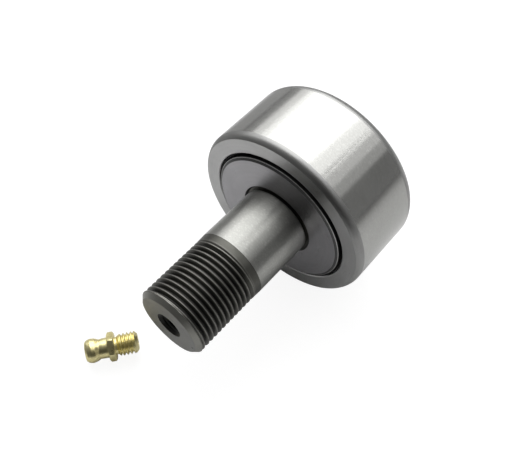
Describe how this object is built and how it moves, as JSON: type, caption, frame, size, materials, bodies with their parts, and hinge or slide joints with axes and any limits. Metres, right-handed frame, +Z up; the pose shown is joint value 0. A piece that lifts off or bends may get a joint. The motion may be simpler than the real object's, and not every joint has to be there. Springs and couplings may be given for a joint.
{
  "type": "cam follower",
  "caption": "Stud-type needle roller cam follower: rounded-edge roller on a threaded stud with thrust plate, needle cage and seals, and a loose screw-in grease fitting.",
  "frame": {"origin": "centre of the seating face of the end plate, on the stud's axis", "axes": "+Y along the follower's axis into the roller, so the stud points to -Y; +Z up, away from the plane that the roller rests on"},
  "size_m": [0.052, 0.081, 0.052],
  "materials": {
    "stud_steel": "ground shank and head, black-oxide thread",
    "ring_steel": "ground bright running surface",
    "plate_steel": "satin hardened steel",
    "cage_steel": "pressed sheet steel",
    "washer_polymer": "black polymer",
    "seal_rubber": "black rubber",
    "fitting_brass": "turned, yellow plated",
    "ball_steel": "polished",
    "spring_steel": "drawn wire",
    "needle_steel": "superfinished"
  },
  "bodies": {
    "stud": {"stud": "stud_steel", "end_plate": "plate_steel"},
    "roller": {"outer_ring": "ring_steel", "seal_front": "seal_rubber", "seal_back": "seal_rubber", "thrust_washer_front": "washer_polymer", "thrust_washer_back": "washer_polymer"},
    "cage": {"needle_cage": "cage_steel"},
    "needle_01": {"needle_01": "needle_steel"},
    "needle_02": {"needle_02": "needle_steel"},
    "needle_03": {"needle_03": "needle_steel"},
    "needle_04": {"needle_04": "needle_steel"},
    "needle_05": {"needle_05": "needle_steel"},
    "needle_06": {"needle_06": "needle_steel"},
    "needle_07": {"needle_07": "needle_steel"},
    "needle_08": {"needle_08": "needle_steel"},
    "needle_09": {"needle_09": "needle_steel"},
    "needle_10": {"needle_10": "needle_steel"},
    "needle_11": {"needle_11": "needle_steel"},
    "needle_12": {"needle_12": "needle_steel"},
    "needle_13": {"needle_13": "needle_steel"},
    "needle_14": {"needle_14": "needle_steel"},
    "needle_15": {"needle_15": "needle_steel"},
    "needle_16": {"needle_16": "needle_steel"},
    "needle_17": {"needle_17": "needle_steel"},
    "needle_18": {"needle_18": "needle_steel"},
    "grease_fitting": {"grease_fitting": "fitting_brass", "fitting_spring": "spring_steel"},
    "fitting_ball": {"fitting_ball": "ball_steel"}
  },
  "joints": [
    {"name": "roller_spin", "type": "hinge", "parent": "stud", "child": "roller", "pos_m": [0, 0.0128, 0], "axis": [0, 1, 0], "continuous": true},
    {"name": "cage_orbit", "type": "hinge", "parent": "stud", "child": "cage", "pos_m": [0, 0.0128, 0], "axis": [0, 1, 0], "continuous": true},
    {"name": "needle_01_spin", "type": "hinge", "parent": "cage", "child": "needle_01", "pos_m": [0.016, 0.0128, 0], "axis": [0, 1, 0], "continuous": true},
    {"name": "needle_02_spin", "type": "hinge", "parent": "cage", "child": "needle_02", "pos_m": [0.01504, 0.0128, 0.00547], "axis": [0, 1, 0], "continuous": true},
    {"name": "needle_03_spin", "type": "hinge", "parent": "cage", "child": "needle_03", "pos_m": [0.01226, 0.0128, 0.01028], "axis": [0, 1, 0], "continuous": true},
    {"name": "needle_04_spin", "type": "hinge", "parent": "cage", "child": "needle_04", "pos_m": [0.008, 0.0128, 0.01386], "axis": [0, 1, 0], "continuous": true},
    {"name": "needle_05_spin", "type": "hinge", "parent": "cage", "child": "needle_05", "pos_m": [0.00278, 0.0128, 0.01576], "axis": [0, 1, 0], "continuous": true},
    {"name": "needle_06_spin", "type": "hinge", "parent": "cage", "child": "needle_06", "pos_m": [-0.00278, 0.0128, 0.01576], "axis": [0, 1, 0], "continuous": true},
    {"name": "needle_07_spin", "type": "hinge", "parent": "cage", "child": "needle_07", "pos_m": [-0.008, 0.0128, 0.01386], "axis": [0, 1, 0], "continuous": true},
    {"name": "needle_08_spin", "type": "hinge", "parent": "cage", "child": "needle_08", "pos_m": [-0.01226, 0.0128, 0.01028], "axis": [0, 1, 0], "continuous": true},
    {"name": "needle_09_spin", "type": "hinge", "parent": "cage", "child": "needle_09", "pos_m": [-0.01504, 0.0128, 0.00547], "axis": [0, 1, 0], "continuous": true},
    {"name": "needle_10_spin", "type": "hinge", "parent": "cage", "child": "needle_10", "pos_m": [-0.016, 0.0128, 0], "axis": [0, 1, 0], "continuous": true},
    {"name": "needle_11_spin", "type": "hinge", "parent": "cage", "child": "needle_11", "pos_m": [-0.01504, 0.0128, -0.00547], "axis": [0, 1, 0], "continuous": true},
    {"name": "needle_12_spin", "type": "hinge", "parent": "cage", "child": "needle_12", "pos_m": [-0.01226, 0.0128, -0.01028], "axis": [0, 1, 0], "continuous": true},
    {"name": "needle_13_spin", "type": "hinge", "parent": "cage", "child": "needle_13", "pos_m": [-0.008, 0.0128, -0.01386], "axis": [0, 1, 0], "continuous": true},
    {"name": "needle_14_spin", "type": "hinge", "parent": "cage", "child": "needle_14", "pos_m": [-0.00278, 0.0128, -0.01576], "axis": [0, 1, 0], "continuous": true},
    {"name": "needle_15_spin", "type": "hinge", "parent": "cage", "child": "needle_15", "pos_m": [0.00278, 0.0128, -0.01576], "axis": [0, 1, 0], "continuous": true},
    {"name": "needle_16_spin", "type": "hinge", "parent": "cage", "child": "needle_16", "pos_m": [0.008, 0.0128, -0.01386], "axis": [0, 1, 0], "continuous": true},
    {"name": "needle_17_spin", "type": "hinge", "parent": "cage", "child": "needle_17", "pos_m": [0.01226, 0.0128, -0.01028], "axis": [0, 1, 0], "continuous": true},
    {"name": "needle_18_spin", "type": "hinge", "parent": "cage", "child": "needle_18", "pos_m": [0.01504, 0.0128, -0.00547], "axis": [0, 1, 0], "continuous": true},
    {"name": "fitting_lift", "type": "slide", "parent": "stud", "child": "grease_fitting", "axis": [0, 0, 1], "range_m": [0, 0.05]},
    {"name": "ball_press", "type": "slide", "parent": "grease_fitting", "child": "fitting_ball", "axis": [0.5976, 0.8018, 0], "range_m": [0, 0.0007], "stiffness_N_per_m": 300, "springref_m": -0.0005, "deforming": ["fitting_spring"]}
  ],
  "couplings": [
    {"joint": "cage_orbit", "follows": "roller_spin", "ratio": 0.5625},
    {"joint": "needle_01_spin", "follows": "roller_spin", "ratio": 3.9375},
    {"joint": "needle_02_spin", "follows": "roller_spin", "ratio": 3.9375},
    {"joint": "needle_03_spin", "follows": "roller_spin", "ratio": 3.9375},
    {"joint": "needle_04_spin", "follows": "roller_spin", "ratio": 3.9375},
    {"joint": "needle_05_spin", "follows": "roller_spin", "ratio": 3.9375},
    {"joint": "needle_06_spin", "follows": "roller_spin", "ratio": 3.9375},
    {"joint": "needle_07_spin", "follows": "roller_spin", "ratio": 3.9375},
    {"joint": "needle_08_spin", "follows": "roller_spin", "ratio": 3.9375},
    {"joint": "needle_09_spin", "follows": "roller_spin", "ratio": 3.9375},
    {"joint": "needle_10_spin", "follows": "roller_spin", "ratio": 3.9375},
    {"joint": "needle_11_spin", "follows": "roller_spin", "ratio": 3.9375},
    {"joint": "needle_12_spin", "follows": "roller_spin", "ratio": 3.9375},
    {"joint": "needle_13_spin", "follows": "roller_spin", "ratio": 3.9375},
    {"joint": "needle_14_spin", "follows": "roller_spin", "ratio": 3.9375},
    {"joint": "needle_15_spin", "follows": "roller_spin", "ratio": 3.9375},
    {"joint": "needle_16_spin", "follows": "roller_spin", "ratio": 3.9375},
    {"joint": "needle_17_spin", "follows": "roller_spin", "ratio": 3.9375},
    {"joint": "needle_18_spin", "follows": "roller_spin", "ratio": 3.9375}
  ]
}
